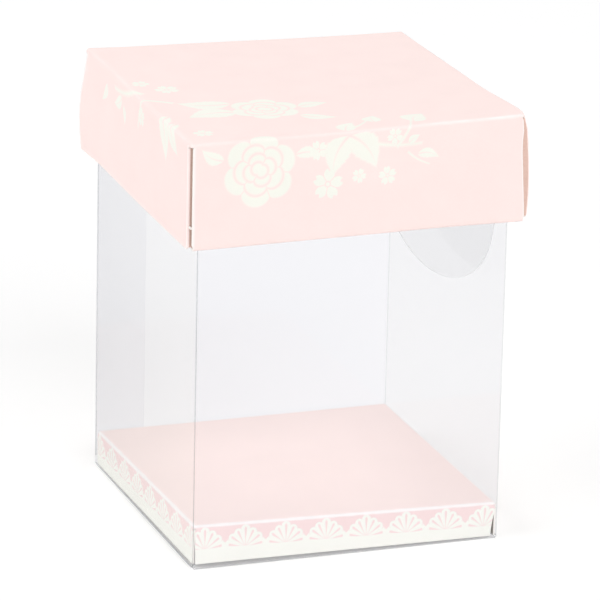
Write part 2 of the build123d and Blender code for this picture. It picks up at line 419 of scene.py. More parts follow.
    def rose(self, tree: bpy.types.NodeTree, place: Any, bend: Any, width: Any) -> Any:
        """Draws rings of lobed petals, each ring parted from the next by a fine open line.

        Args:
            tree: the group's tree.
            place: the unit place.
            bend: not used by this form.
            width: not used by this form.

        Returns:
            How far inside the form a place is.
        """
        reach, angle = self.polar(tree, place)
        rings = ((1.0, 6, 0.2, 0.24), (0.70, 5, 0.9, 0.26), (0.45, 4, 0.3, 0.30), (0.24, 2, 1.0, 0.40))
        outlines = []
        waves = []
        for radius, count, turn, depth in rings:
            wave = self.petals(tree, angle, count, turn)
            lobe = wire(tree, "Math", {0: wave, 1: 0.6}, operation="POWER")
            swell = {0: lobe, 1: radius * depth, 2: radius * (1 - depth)}
            outlines.append(wire(tree, "Math", swell, operation="MULTIPLY_ADD"))
            waves.append(wave)
        inside = wire(tree, "Math", {0: outlines[0], 1: reach}, operation="SUBTRACT")
        for outline in outlines[1:]:
            line = wire(tree, "Math", {0: outline, 1: reach}, operation="SUBTRACT")
            line = wire(tree, "Math", {0: line}, operation="ABSOLUTE")
            line = wire(tree, "Math", {0: line, 1: 0.034}, operation="SUBTRACT")
            inside = wire(tree, "Math", {0: inside, 1: line}, operation="MINIMUM")
        for ring in range(3):
            gap = wire(tree, "Math", {0: waves[ring], 1: reach, 2: -0.035}, operation="MULTIPLY_ADD")
            under = wire(tree, "Math", {0: outlines[ring + 1], 1: reach}, operation="SUBTRACT")
            over = wire(tree, "Math", {0: reach, 1: outlines[ring]}, operation="SUBTRACT")
            away = wire(tree, "Math", {0: under, 1: over}, operation="MAXIMUM")
            gap = wire(tree, "Math", {0: gap, 1: away}, operation="MAXIMUM")
            inside = wire(tree, "Math", {0: inside, 1: gap}, operation="MINIMUM")
        return inside

    def mask(self, tree: bpy.types.NodeTree, place: bpy.types.NodeSocket) -> bpy.types.NodeSocket:
        """Lays the whole spray out on the flat blank.

        Args:
            tree: the material's tree.
            place: the place on the blank in millimetres.

        Returns:
            1 where the board is left bare, 0 where the pink is printed.
        """
        forms = {motif: self.form(motif) for motif in Motif}
        total: Any = 0.0
        for item in SPRAY:
            spot = wire(
                tree,
                "Mapping",
                {
                    "Vector": place,
                    "Location": (item.u, item.v, 0),
                    "Rotation": (0, 0, math.radians(item.turn)),
                    "Scale": (item.size, item.size, 1),
                },
                vector_type="TEXTURE",
            )
            feeds = {"Place": spot, "Bend": item.bend, "Width": item.width}
            shape = wire(tree, "Group", feeds, node_tree=forms[item.motif])
            total = wire(tree, "Math", {0: shape, 1: total}, operation="MAXIMUM")
        return total


@dataclass(frozen=True)
class PrintedLidBoard:
    """Folding boxboard, offset printed in one flood of pale pink that leaves a spray of flowers bare.

    The eye gets a soft matt sheet with fine paper grain, cream flowers with crisp edges and a paler
    line along each fold. That line is partly print cracked where it is stretched over the fold and partly a
    painted highlight on the fold. The walls' cut ends get a pale band, partly bare white core and partly
    painted highlight.
    """

    pink: str = "FDE8E4"
    cream: str = "F6F5EC"
    # Pale colour of the fold line: print cracked over the fold, and a painted highlight on the fold.
    crack_and_highlight: str = "FFF9F7"
    fold: float = 42.5
    crack_and_highlight_width: float = 0.8
    grain: float = 0.35
    cloud: float = 9.0
    double_end: float = 42.2
    single_end: float = 40.5

    def material(self) -> bpy.types.Material:
        """Makes the material; it reads the blank's own flat layout in millimetres.

        Returns:
            The material.
        """
        material, tree = new_material("printed_boxboard")
        flat = wire(tree, "UVMap", {}, uv_map="blank")
        body = wire(tree, "TexCoord", {}, out="Object")
        flowers = FloralPrint().mask(tree, flat)
        run = wire(tree, "SeparateXYZ", {0: flat}, out=0)
        upward = wire(tree, "SeparateXYZ", {0: flat}, out=1)
        across = wire(tree, "Math", {0: run}, operation="ABSOLUTE")
        upward = wire(tree, "Math", {0: upward}, operation="ABSOLUTE")
        far = wire(tree, "Math", {0: across, 1: upward}, operation="MAXIMUM")
        near = wire(tree, "Math", {0: across, 1: upward}, operation="MINIMUM")
        off = wire(tree, "Math", {0: far, 1: self.fold}, operation="SUBTRACT")
        off = wire(tree, "Math", {0: off}, operation="ABSOLUTE")
        # Pale line along each fold, partly print cracked over the fold and partly a painted highlight. It is
        # uneven along its length, stronger towards the right of the front and weaker on the side walls, as
        # the light falls.
        wear_and_highlight_noise = wire(tree, "TexNoise", {"Vector": body, "Scale": 1 / (14.0 * MM), "Detail": 5.0})
        wear_and_highlight_strength = wire(tree, "MapRange", {0: wear_and_highlight_noise, 1: 0.35, 2: 0.65, 3: 0.15, 4: 0.7})
        crack_and_highlight = wire(tree, "MapRange", {0: off, 1: self.crack_and_highlight_width, 2: 0.0, 3: 0.0, 4: 1.0})
        crack_and_highlight = wire(tree, "Math", {0: crack_and_highlight, 1: wear_and_highlight_strength}, operation="MULTIPLY")
        side = wire(tree, "Math", {0: across, 1: upward}, operation="GREATER_THAN")
        painted_highlight_falloff = wire(tree, "MapRange", {0: run, 1: -5.0, 2: 30.0, 3: 0.3, 4: 1.2})
        painted_highlight_falloff = wire(tree, "MapRange", {0: side, 3: painted_highlight_falloff, 4: 0.45})
        crack_and_highlight = wire(tree, "Math", {0: crack_and_highlight, 1: painted_highlight_falloff}, operation="MULTIPLY")
        # Pale band at the cut ends of the walls beside the slits, wider at the left: partly bare white core
        # on the rounded ends, partly a painted highlight where the ends catch the light.
        last = wire(tree, "MapRange", {0: side, 3: self.double_end, 4: self.single_end})
        ends = wire(tree, "Math", {0: near, 1: last}, operation="SUBTRACT")
        before = wire(tree, "Math", {0: ends, 1: 0.03}, operation="LESS_THAN")
        end_core_and_highlight_reach = wire(tree, "MapRange", {0: run, 1: -30.0, 2: 30.0, 3: -0.85, 4: -0.35})
        ends = wire(tree, "MapRange", {0: ends, 1: end_core_and_highlight_reach, 2: -0.1, 3: 0.0, 4: 0.9})
        wall = wire(tree, "Math", {0: far, 1: self.fold + 0.6}, operation="GREATER_THAN")
        ends = wire(tree, "Math", {0: ends, 1: wall}, operation="MULTIPLY")
        ends = wire(tree, "Math", {0: ends, 1: before}, operation="MULTIPLY")
        crack_and_highlight = wire(tree, "Math", {0: crack_and_highlight, 1: ends}, operation="MAXIMUM")
        inks = {0: flowers, 6: linear(self.pink), 7: linear(self.cream)}
        inked = wire(tree, "Mix", inks, out=2, data_type="RGBA")
        inked = wire(tree, "Mix", {0: crack_and_highlight, 6: inked, 7: linear(self.crack_and_highlight)}, out=2, data_type="RGBA")
        skin = printed_paper(tree, body, inked, self.grain, self.cloud)
        wire(tree, "OutputMaterial", {"Surface": skin}, out=slice(0, 0))
        return material


@dataclass(frozen=True)
class LaceBoard:
    """Folding boxboard with a pink flood and a bare cream lace border of fans along its skirts.

    The eye gets a pink floor, a pale line on the fold, partly stretched print and partly a painted
    highlight, and rows of small cut-out fans.
    """

    pink: str = "FCEBE8"
    border_pink: str = "FBE3E2"
    cream: str = "FDFDF6"
    # Pale colour of the fold line: print cracked over the fold, and a painted highlight on the fold.
    crack_and_highlight: str = "FFFDFC"
    pitch: float = 10.48
    fan_base: float = 2.4
    fan_radius: float = 5.75
    squeeze: float = 1.02
    step: float = 26.5
    fold_low: float = 8.2
    fold_high: float = 9.0
    grain: float = 0.35
    cloud: float = 9.0

    def lace(self, tree: bpy.types.NodeTree, flat: bpy.types.NodeSocket) -> bpy.types.NodeSocket:
        """Draws the border: fans of rounded petals, each with a drop-shaped slot.

        Args:
            tree: the material's tree.
            flat: along the skirt and above its rim, in millimetres.

        Returns:
            1 where the board is left cream.
        """
        along = wire(tree, "SeparateXYZ", {0: flat}, out=0)
        height = wire(tree, "SeparateXYZ", {0: flat}, out=1)
        cell = wire(tree, "Math", {0: along, 1: 1 / self.pitch}, operation="MULTIPLY")
        cell = wire(tree, "Math", {0: cell}, operation="FRACT")
        cell = wire(tree, "Math", {0: cell, 1: 0.5}, operation="SUBTRACT")
        aside = wire(tree, "Math", {0: cell, 1: self.pitch}, operation="MULTIPLY")
        above = wire(tree, "Math", {0: height, 1: self.fan_base}, operation="SUBTRACT")
        aside = wire(tree, "Math", {0: aside, 1: self.squeeze}, operation="MULTIPLY")
        spot = wire(tree, "CombineXYZ", {0: aside, 1: above})
        reach = wire(tree, "VectorMath", {0: spot}, out="Value", operation="LENGTH")
        angle = wire(tree, "Math", {0: aside, 1: above}, operation="ARCTAN2")
        step = math.radians(self.step)
        turn = wire(tree, "Math", {0: angle, 1: 1 / step, 2: 0.5}, operation="MULTIPLY_ADD")
        index = wire(tree, "Math", {0: turn}, operation="FLOOR")
        part = wire(tree, "Math", {0: turn, 1: index}, operation="SUBTRACT")
        part = wire(tree, "Math", {0: part, 1: 0.5}, operation="SUBTRACT")
        part = wire(tree, "Math", {0: part}, operation="ABSOLUTE")
        lobe = wire(tree, "Math", {0: part, 1: part}, operation="MULTIPLY")
        middle = wire(tree, "Math", {0: index, 1: 0.0, 2: 0.1}, operation="COMPARE")
        tip = wire(tree, "Math", {0: middle, 1: 0.45, 2: self.fan_radius - 0.45}, operation="MULTIPLY_ADD")
        outline = wire(tree, "Math", {0: lobe, 1: -2.4, 2: tip}, operation="MULTIPLY_ADD")
        edge = wire(tree, "Math", {0: outline, 1: reach}, operation="SUBTRACT")
        offset = wire(tree, "Math", {0: part, 1: step}, operation="MULTIPLY")
        offset = wire(tree, "Math", {0: offset, 1: reach}, operation="MULTIPLY")
        grow = wire(tree, "MapRange", {0: reach, 1: 1.8, 2: 4.2, 3: 0.1, 4: 0.34})
        room = wire(tree, "Math", {0: tip, 1: reach}, operation="SUBTRACT")
        stop = wire(tree, "MapRange", {0: room, 1: 0.55, 2: 0.9, 3: 0.0, 4: 1.0})
        hollow = wire(tree, "Math", {0: grow, 1: stop}, operation="MULTIPLY")
        hollow = wire(tree, "Math", {0: hollow, 1: 0.03}, operation="SUBTRACT")
        slot = wire(tree, "Math", {0: offset, 1: hollow}, operation="SUBTRACT")
        fan = wire(tree, "Math", {0: edge, 1: slot}, operation="MINIMUM")
        solid = wire(tree, "Math", {0: 0.3, 1: above}, operation="SUBTRACT")
        fan = wire(tree, "Math", {0: fan, 1: solid}, operation="MAXIMUM")
        outer = wire(tree, "Math", {0: aside}, operation="ABSOLUTE")
        valley = self.pitch * self.squeeze / 2
        web = wire(tree, "Math", {0: outer, 1: -1.0, 2: valley + 1.45}, operation="MULTIPLY_ADD")
        web = wire(tree, "Math", {0: web, 1: above}, operation="SUBTRACT")
        outer = wire(tree, "Math", {0: outer, 1: 4.45}, operation="SUBTRACT")
        web = wire(tree, "Math", {0: web, 1: outer}, operation="MINIMUM")
        fan = wire(tree, "Math", {0: fan, 1: web}, operation="MAXIMUM")
        return wire(tree, "MapRange", {0: fan, 1: -0.09, 2: 0.09, 3: 0.0, 4: 1.0})

    def material(self) -> bpy.types.Material:
        """Makes the material; it reads the blank's own flat layout in millimetres.

        Returns:
            The material.
        """
        material, tree = new_material("lace_printed_boxboard")
        flat = wire(tree, "UVMap", {}, uv_map="blank")
        body = wire(tree, "TexCoord", {}, out="Object")
        height = wire(tree, "SeparateXYZ", {0: flat}, out=1)
        border = self.lace(tree, flat)
        floor = wire(tree, "Math", {0: height, 1: self.fold_high}, operation="GREATER_THAN")
        # Pale line along the fold, partly print cracked over the fold and partly a painted highlight on it;
        # its width is uneven along its length.
        wear_and_highlight_noise = wire(tree, "TexNoise", {"Vector": body, "Scale": 1 / (2.0 * MM), "Detail": 3.0})
        middle = (self.fold_low + self.fold_high) / 2
        off = wire(tree, "Math", {0: height, 1: middle}, operation="SUBTRACT")
        off = wire(tree, "Math", {0: off}, operation="ABSOLUTE")
        reach = wire(tree, "Math", {0: wear_and_highlight_noise, 1: 0.4, 2: 0.25}, operation="MULTIPLY_ADD")
        crack_and_highlight = wire(tree, "Math", {0: reach, 1: off}, operation="SUBTRACT")
        crack_and_highlight = wire(tree, "MapRange", {0: crack_and_highlight, 1: -0.2, 2: 0.2, 3: 0.0, 4: 0.9})
        inks = {0: border, 6: linear(self.border_pink), 7: linear(self.cream)}
        trim = wire(tree, "Mix", inks, out=2, data_type="RGBA")
        inked = wire(tree, "Mix", {0: floor, 6: trim, 7: linear(self.pink)}, out=2, data_type="RGBA")
        inked = wire(tree, "Mix", {0: crack_and_highlight, 6: inked, 7: linear(self.crack_and_highlight)}, out=2, data_type="RGBA")
        skin = printed_paper(tree, body, inked, self.grain, self.cloud)
        wire(tree, "OutputMaterial", {"Surface": skin}, out=slice(0, 0))
        return material


@dataclass(frozen=True)
class PlainBoard:
    """The same boxboard where nothing is printed: its cut edge or its bare back.

    The eye gets matt paper with short fibres, a little lighter and darker from place to place.
    """

    name: str
    colour: str
    fibre: str
    grain: float = 0.4
    rough: float = 0.75

    def material(self) -> bpy.types.Material:
        """Makes the material.

        Returns:
            The material.
        """
        material, tree = new_material(self.name)
        body = wire(tree, "TexCoord", {}, out="Object")
        lay = wire(tree, "Mapping", {"Vector": body, "Scale": (1.0, 0.45, 1.0)})
        fibre = wire(tree, "TexNoise", {"Vector": lay, "Scale": 1 / (self.grain * MM), "Detail": 6.0})
        share = wire(tree, "MapRange", {0: fibre, 1: 0.42, 2: 0.72, 3: 0.0, 4: 1.0})
        colour = wire(
            tree, "Mix", {0: share, 6: linear(self.colour), 7: linear(self.fibre)}, out=2, data_type="RGBA"
        )
        bump = wire(tree, "Bump", {"Strength": 0.3, "Distance": 0.03 * MM, "Height": fibre})
        rough = wire(tree, "MapRange", {0: fibre, 3: self.rough - 0.07, 4: self.rough + 0.07})
        skin = wire(
            tree,
            "BsdfPrincipled",
            {"Base Color": colour, "Roughness": rough, "Specular IOR Level": 0.25, "Normal": bump},
        )
        wire(tree, "OutputMaterial", {"Surface": skin}, out=slice(0, 0))
        return material


@dataclass(frozen=True)
class ClearFilm:
    """Stiff clear polyester film, calendered smooth and folded along creases.

    The eye gets a faint cool veil, a white gloss that grows where the film is seen at a slant, and a
    greyer look there, because more of the film is looked through.
    """

    name: str = "clear_polyester_film"
    facing: str = "FCFCFD"
    slant: str = "FBFBFB"
    edge_on: str = "C0C2C4"
    slant_at: float = 0.70
    gloss: float = 0.03
    rise: float = 0.2
    ripple: float = 26.0

    def material(self) -> bpy.types.Material:
        """Makes the material.

        Returns:
            The material.
        """
        material, tree = new_material(self.name)
        body = wire(tree, "TexCoord", {}, out="Object")
        wave = wire(tree, "TexNoise", {"Vector": body, "Scale": 1 / (self.ripple * MM), "Detail": 1.0})
        bump = wire(tree, "Bump", {"Strength": 0.15, "Distance": 0.4 * MM, "Height": wave})
        slant = wire(tree, "LayerWeight", {"Blend": 0.5}, out="Facing")
        low = wire(tree, "MapRange", {0: slant, 1: 0.0, 2: self.slant_at, 3: 0.0, 4: 1.0})
        high = wire(tree, "MapRange", {0: slant, 1: self.slant_at, 2: 1.0, 3: 0.0, 4: 1.0})
        tints = {0: low, 6: linear(self.facing), 7: linear(self.slant)}
        tint = wire(tree, "Mix", tints, out=2, data_type="RGBA")
        tint = wire(tree, "Mix", {0: high, 6: tint, 7: linear(self.edge_on)}, out=2, data_type="RGBA")
        clear = wire(tree, "BsdfTransparent", {"Color": tint})
        shine = wire(tree, "BsdfGlossy", {"Color": linear("FFFFFF"), "Roughness": 0.06, "Normal": bump})
        rise = wire(tree, "Math", {0: slant, 1: 5.0}, operation="POWER")
        share = wire(tree, "Math", {0: rise, 1: self.rise, 2: self.gloss}, operation="MULTIPLY_ADD")
        film = wire(tree, "MixShader", {0: share, 1: clear, 2: shine})
        shadow = wire(tree, "LightPath", {}, out="Is Shadow Ray")
        spread = wire(tree, "LightPath", {}, out="Is Diffuse Ray")
        passing = wire(tree, "Math", {0: shadow, 1: spread}, operation="MAXIMUM")
        open_air = wire(tree, "BsdfTransparent", {"Color": linear("FEFEFE")})
        film = wire(tree, "MixShader", {0: passing, 1: film, 2: open_air})
        wire(tree, "OutputMaterial", {"Surface": film}, out=slice(0, 0))
        return material


@dataclass(frozen=True)
class CreasedFilm:
    """The same film along a scored fold, where it is drawn thin and gone slightly milky.

    The eye gets a fine grey line down the corner, a little uneven along its length.
    """

    name: str
    light: str
    dark: str

    def material(self) -> bpy.types.Material:
        """Makes the material.

        Returns:
            The material.
        """
        material, tree = new_material(self.name)
        body = wire(tree, "TexCoord", {}, out="Object")
        uneven = wire(tree, "TexNoise", {"Vector": body, "Scale": 1 / (9.0 * MM), "Detail": 3.0})
        tones = {0: uneven, 6: linear(self.dark), 7: linear(self.light)}
        colour = wire(tree, "Mix", tones, out=2, data_type="RGBA")
        clear = wire(tree, "BsdfTransparent", {"Color": colour})
        shine = wire(tree, "BsdfGlossy", {"Color": linear("FFFFFF"), "Roughness": 0.3})
        crease = wire(tree, "MixShader", {0: 0.03, 1: clear, 2: shine})
        wire(tree, "OutputMaterial", {"Surface": crease}, out=slice(0, 0))
        return material


@dataclass(frozen=True)
class FilmEdge:
    """The cut edge of the clear film, where the die leaves a fine frosted line.

    The eye gets a thin grey line that is a little brighter where the cut is rough.
    """

    name: str = "cut_polyester_edge"
    light: str = "F2F3F4"
    dark: str = "D6D8DA"
    through: str = "F2F3F4"
    frost: float = 0.35

    def material(self) -> bpy.types.Material:
        """Makes the material.

        Returns:
            The material.
        """
        material, tree = new_material(self.name)
        body = wire(tree, "TexCoord", {}, out="Object")
        rough = wire(tree, "TexNoise", {"Vector": body, "Scale": 1 / (1.2 * MM), "Detail": 3.0})
        tones = {0: rough, 6: linear(self.dark), 7: linear(self.light)}
        colour = wire(tree, "Mix", tones, out=2, data_type="RGBA")
        frost = wire(tree, "BsdfPrincipled", {"Base Color": colour, "Roughness": 0.4})
        clear = wire(tree, "BsdfTransparent", {"Color": linear(self.through)})
        edge = wire(tree, "MixShader", {0: self.frost, 1: clear, 2: frost})
        wire(tree, "OutputMaterial", {"Surface": edge}, out=slice(0, 0))
        return material


@dataclass
class FoldedBoard:
    """A flat panel of card with walls folded down from its edges, shaped from one plane."""

    name: str
    body: str
    slot: str
    panel: float
    depth: float
    top: float
    shift: float = 0.0
    card: float = 0.45
    bend: float = 0.8
    cuts: int = 31

    def edge(self, side: Side) -> float:
        """Gives the distance of one edge of the panel from the middle of the box.

        Args:
            side: which edge.

        Returns:
            The distance.
        """
        if side in (Side.FRONT, Side.BACK):
            return self.depth + self.shift * side.outward.y
        return self.panel

    def start(self) -> bpy.types.Object:
        """Lays the flat panel down and leaves it in edit mode.

        Returns:
            The new piece.
        """
        bpy.ops.object.select_all(action="DESELECT")
        bpy.ops.mesh.primitive_plane_add(size=2 * self.panel * MM, location=(0, 0, self.top * MM))
        piece = bpy.context.object
        piece.name = self.name
        piece.data.name = self.name
        bpy.ops.object.transform_apply(location=True, rotation=True, scale=True)
        bpy.ops.object.mode_set(mode="EDIT")
        bpy.ops.transform.resize(value=(1, self.depth / self.panel, 1), center_override=(0, 0, 0))
        bpy.ops.transform.translate(value=(0, self.shift * MM, 0))
        bpy.ops.mesh.subdivide(number_cuts=self.cuts)
        return piece

    def fold(self, piece: bpy.types.Object, side: Side) -> None:
        """Turns one edge of the panel down round its crease.

        Args:
            piece: the piece in edit mode.
            side: which edge.
        """
        reach = self.edge(side) * MM
        level = self.top * MM
        select(
            piece,
            Pick.EDGE,
            lambda co: abs(co.dot(side.outward) - reach) < NEAR and abs(co.z - level) < NEAR,
        )
        centre = side.outward * reach + Vector((0, 0, level - self.bend * MM))
        bpy.ops.mesh.spin(steps=6, angle=math.pi / 2, center=centre, axis=side.axis)

    def corner(self, piece: bpy.types.Object, side: Side, end: Side) -> None:
        """Closes one top corner: the fold of one side is carried round to the next.

        Args:
            piece: the piece in edit mode.
            side: the side whose fold is carried on.
            end: the next side.
        """
        near, reach = self.edge(side) * MM, self.edge(end) * MM
        low = (self.top - self.bend) * MM - NEAR
        select(
            piece,
            Pick.EDGE,
            lambda co: abs(co.dot(end.outward) - reach) < NEAR
            and co.dot(side.outward) > near - NEAR
            and co.z > low,
        )
        centre = side.outward * near + end.outward * reach
        bpy.ops.mesh.spin(steps=5, angle=math.pi / 2, center=centre, axis=end.outward.cross(side.outward))

    def corners(self, piece: bpy.types.Object) -> None:
        """Closes the four top corners.

        Args:
            piece: the piece in edit mode.
        """
        for side in (Side.FRONT, Side.BACK):
            for end in (Side.LEFT, Side.RIGHT):
                self.corner(piece, side, end)

    def drop(self, side: Side, depth: float, start: float, end: float, steps: int) -> None:
        """Draws the selected edge down, or up for a negative depth, widening or narrowing it evenly.

        Args:
            side: the side that the edge belongs to.
            depth: how far it goes.
            start: half length of the edge now.
            end: half length of the edge at the end.
            steps: number of equal steps.
        """
        width = start
        for step in range(1, steps + 1):
            bpy.ops.mesh.extrude_region_move(TRANSFORM_OT_translate={"value": (0, 0, -depth / steps * MM)})
            wider = start + (end - start) * step / steps
            ratio = wider / width
            size = (ratio, 1, 1) if side in (Side.FRONT, Side.BACK) else (1, ratio, 1)
            bpy.ops.transform.resize(value=size, center_override=(0, self.shift * MM, 0))
            width = wider

    def push(
        self, piece: bpy.types.Object, near: Vector, move: Vector, reach: float, ease: Ease = Ease.SMOOTH
    ) -> None:
        """Moves the card round one place, less and less with distance.

        Args:
            piece: the piece in edit mode.
            near: the place, in millimetres.
            move: how far it goes, in millimetres.
            reach: how far the move is felt, in millimetres.
            ease: how it dies away.
        """
        spot = near * MM
        bpy.ops.mesh.select_mode(type="VERT")
        bpy.ops.mesh.select_all(action="DESELECT")
        sheet = bmesh.from_edit_mesh(piece.data)
        closest = min(sheet.verts, key=lambda vert: (vert.co - spot).length)
        closest.select_set(True)
        bmesh.update_edit_mesh(piece.data)
        bpy.ops.transform.translate(
            value=move * MM,
            use_proportional_edit=True,
            use_proportional_connected=True,
            proportional_edit_falloff=ease.value,
            proportional_size=reach * MM,
        )

    def flatten(self, piece: bpy.types.Object, layout: Callable[[Vector], tuple[float, float]]) -> None:
        """Writes each point's place on the flat blank to the piece's UV map, in millimetres.

        Args:
            piece: the piece in object mode.
            layout: takes a place in millimetres and gives the place on the blank.
        """
        mesh = piece.data
        for layer in list(mesh.uv_layers):
            mesh.uv_layers.remove(layer)
        flat = mesh.uv_layers.new(name="blank")
        for loop in mesh.loops:
            flat.data[loop.index].uv = layout(mesh.vertices[loop.vertex_index].co / MM)

    def thicken(self, piece: bpy.types.Object, finishes: list[bpy.types.Material]) -> None:
        """Gives the sheet its thickness, with one finish each for face, cut edge and back.

        Args:
            piece: the piece in object mode.
            finishes: the three finishes, and any other that faces already have.
        """
        for finish in finishes:
            piece.data.materials.append(finish)
        wall = piece.modifiers.new("card", "SOLIDIFY")
        wall.thickness = self.card * MM
        wall.offset = -1.0
        wall.use_even_offset = True
        wall.material_offset_rim = 1
        wall.material_offset = 2
        bpy.context.view_layer.objects.active = piece
        bpy.ops.object.modifier_apply(modifier=wall.name)
        bpy.ops.object.shade_smooth_by_angle(angle=math.radians(40))

    def join(self, piece: bpy.types.Object, nodes: list[str]) -> None:
        """Ties the finished piece to its body and the CAD nodes that it stands for.

        Args:
            piece: the finished piece.
            nodes: names of the CAD nodes.
        """
        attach(piece, self.body)
        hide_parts(*nodes)
        log.info("%s: %d faces, for %s", piece.name, len(piece.data.polygons), ", ".join(nodes))


@dataclass
class CardLid(FoldedBoard):
    """The lift-off lid: top, two single side walls, and a front and back wall rolled over double."""

    name: str = "lid_blank"
    body: str = "lid"
    slot: str = "lid_card"
    panel: float = 41.95
    depth: float = 41.95
    top: float = 109.05
    rim: float = 82.65
    roll: float = 0.775
    double_end: float = 42.2
    single_end: float = 40.5
    inner_end: float = 36.0
    inner_top: float = 108.3
    tab_bend: float = 0.5
    tab_turn: float = 78.0
    tab_low: float = 0.6
    tab_slant: float = 2.8
    tab_run: float = 6.0
    tab_narrow: float = 0.95
    slit_top: float = 0.6
    rim_cut: float = 0.4
    round_drop: float = 0.8
    round_cut: float = 0.25
    inner_start: float = 1.2
    behind: float = 0.3
    nick_height: float = 5.3
    nick_size: float = 0.5
    nick_round: float = 0.12
    nick_out: float = 0.12
    nick_forward: float = 0.1

    @property
    def half(self) -> float:
        """Half the outside width."""
        return self.panel + self.bend

    def tab(self, piece: bpy.types.Object, side: Side, end: Side) -> None:
        """Turns one end of a side wall in and takes it on behind the double wall.

        Args:
            piece: the piece in edit mode.
            side: left or right.
            end: front or back.
        """
        reach = self.single_end * MM
        face = self.half * MM
        high = (self.top - self.bend - self.slit_top) * MM
        low = (self.rim + self.tab_low) * MM
        select(
            piece,
            Pick.EDGE,
            lambda co: abs(co.dot(end.outward) - reach) < NEAR
            and low - NEAR < co.z < high + NEAR
            and co.dot(side.outward) > face - NEAR,
        )
        centre = side.outward * (face - self.tab_bend * MM) + end.outward * reach
        turn = math.radians(self.tab_turn)
        bpy.ops.mesh.spin(steps=4, angle=turn, center=centre, axis=end.outward.cross(side.outward))
        slope = end.outward * math.cos(turn) - side.outward * math.sin(turn)
        middle = (0, 0, (high + low) / 2)
        first, second = slope * self.tab_slant, side.outward * -self.tab_run
        for run in (first, first, second, second):
            bpy.ops.mesh.extrude_region_move(TRANSFORM_OT_translate={"value": run * MM})
            bpy.ops.transform.resize(value=(1, 1, self.tab_narrow), center_override=middle)

    def double_wall(self, piece: bpy.types.Object, side: Side) -> None:
        """Folds a front or back wall down, rolls it over at the rim and takes it up inside.

        Args:
            piece: the piece in edit mode.
            side: front or back.
        """
        self.fold(piece, side)
        depth = self.top - self.bend - self.rim - self.roll
        self.drop(side, self.slit_top, self.panel, self.double_end, 2)
        self.drop(side, depth - self.slit_top - self.round_drop, self.double_end, self.double_end, 9)
        rounded = self.double_end - self.round_cut
        self.drop(side, self.round_drop, self.double_end, rounded, 1)
        centre = side.outward * (self.half - self.roll) * MM + Vector((0, 0, (self.rim + self.roll) * MM))
        bpy.ops.mesh.spin(steps=8, angle=math.pi, center=centre, axis=side.axis)
        self.drop(side, -self.inner_start, rounded, self.inner_end, 1)
        rise = self.inner_top - self.rim - self.roll - self.inner_start
        self.drop(side, -rise, self.inner_end, self.inner_end, 10)

    def single_wall(self, piece: bpy.types.Object, side: Side) -> None:
        """Folds a side wall down to its free rim, with a tab at each end.

        Args:
            piece: the piece in edit mode.
            side: left or right.
        """
        self.fold(piece, side)
        depth = self.top - self.bend - self.rim
        self.drop(side, self.slit_top, self.panel, self.single_end, 2)
        self.drop(side, depth - self.slit_top - self.tab_low, self.single_end, self.single_end, 9)
        self.drop(side, self.tab_low, self.single_end, self.single_end - self.rim_cut, 1)
        for end in (Side.FRONT, Side.BACK):
            self.tab(piece, side, end)

    def on_tab(self, place: Vector) -> bool:
        """Tells the faces of the tabs, which take a darker brownish finish that paints the shade in the
        slits.

        Args:
            place: the middle of a face, in millimetres.

        Returns:
            True on a tab.
        """
        level = self.rim + self.tab_low < place.z < self.top - self.bend - self.slit_top
        inward = abs(place.x) < self.half - self.tab_bend
        return level and inward and self.single_end < abs(place.y) < self.half - self.behind

    def nick(self, finish: bpy.types.Material) -> bpy.types.Object:
        """Adds the tiny bridge that the die leaves uncut across the front left slit.

        Args:
            finish: of torn card.

        Returns:
            The finished piece.
        """
        bpy.ops.object.select_all(action="DESELECT")
        across = -(self.single_end + self.half) / 2 - self.nick_forward
        middle = Vector((-self.double_end - self.nick_out, across, self.rim + self.nick_height))
        bpy.ops.mesh.primitive_cube_add(size=MM, location=middle * MM)
        piece = bpy.context.object
        piece.name = "lid_slit_nick"
        bpy.ops.object.transform_apply(location=True, rotation=True, scale=True)
        bpy.ops.object.mode_set(mode="EDIT")
        bpy.ops.mesh.select_all(action="SELECT")
        size = (self.card, self.half - self.single_end - 0.5, self.nick_size)
        bpy.ops.transform.resize(value=size, center_override=middle * MM)
        bpy.ops.mesh.bevel(offset=self.nick_round * MM, segments=2, affect="EDGES")
        bpy.ops.object.mode_set(mode="OBJECT")
        piece.data.materials.append(finish)
        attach(piece, self.body)
        log.info("%s: on %s", piece.name, self.body)
        return piece

    def layout(self, place: Vector) -> tuple[float, float]:
        """Unfolds a place on the outside of the lid to the flat blank.

        Args:
            place: in millimetres.

        Returns:
            The place on the blank; the inner plies come out far from the print.
        """
        side = max(Side, key=lambda side: place.dot(side.outward))
        out = place.dot(side.outward)
        drop = self.top - self.bend - place.z
        if place.z > self.top - 1e-4:
            return place.x, place.y
        if drop > 0.001 and out < self.half - self.behind:
            return tuple(side.outward.xy * 120)
        turn = math.pi / 2 if drop > 0 else math.atan2(max(out - self.panel, 0.0), -drop)
        run = self.panel + self.bend * turn + max(drop, 0.0)
        spread = place - side.outward * out
        return tuple(spread.xy + side.outward.xy * run)

